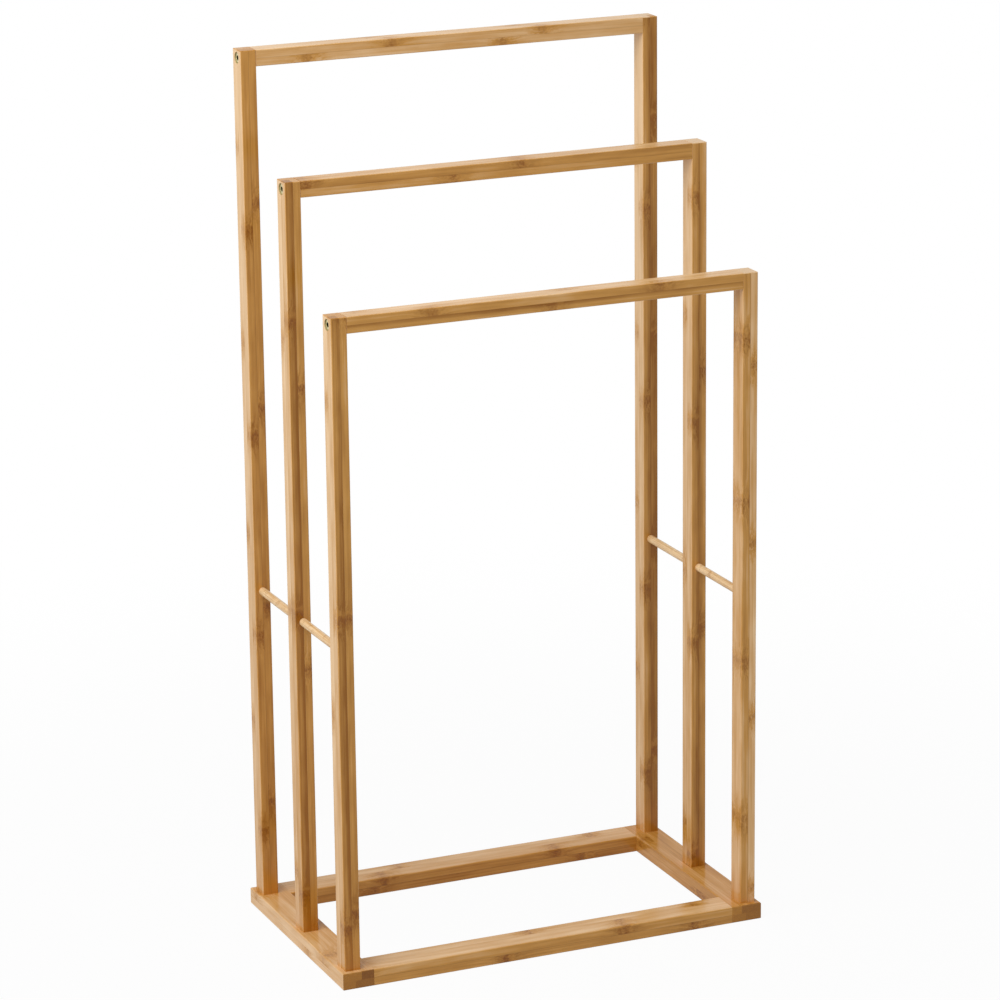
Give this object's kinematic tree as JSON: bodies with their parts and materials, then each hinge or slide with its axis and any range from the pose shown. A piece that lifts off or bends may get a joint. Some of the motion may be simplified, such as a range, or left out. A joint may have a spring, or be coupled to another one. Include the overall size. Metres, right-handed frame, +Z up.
{
  "type": "freestanding towel stand",
  "caption": "Freestanding laminated bamboo towel stand: square towel bars at stepped heights on pairs of slim posts, tied by thin spindles on an open rectangular base frame.",
  "frame": {"origin": "middle of the base's underside, on the floor", "axes": "+Z up along the posts, -Y towards the lowest bar at the front, +X to the right seen from the front"},
  "size_m": [0.42, 0.24, 0.82],
  "materials": {
    "laminated_bamboo": "clear satin lacquer on glued bamboo strips",
    "bamboo_rod": "clear satin lacquer on turned bamboo",
    "screw_steel": "yellow passivated zinc plating"
  },
  "bodies": {
    "root": {"left_runner": "laminated_bamboo", "right_runner": "laminated_bamboo", "front_rail": "laminated_bamboo", "rear_rail": "laminated_bamboo", "front_left_post": "laminated_bamboo", "front_right_post": "laminated_bamboo", "front_crossbar": "laminated_bamboo", "middle_left_post": "laminated_bamboo", "middle_right_post": "laminated_bamboo", "middle_crossbar": "laminated_bamboo", "rear_left_post": "laminated_bamboo", "rear_right_post": "laminated_bamboo", "rear_crossbar": "laminated_bamboo", "left_front_spindle": "bamboo_rod", "left_rear_spindle": "bamboo_rod", "right_front_spindle": "bamboo_rod", "right_rear_spindle": "bamboo_rod", "front_crossbar_screws": "screw_steel", "middle_crossbar_screws": "screw_steel", "rear_crossbar_screws": "screw_steel", "left_post_screws": "screw_steel", "right_post_screws": "screw_steel"}
  },
  "joints": []
}
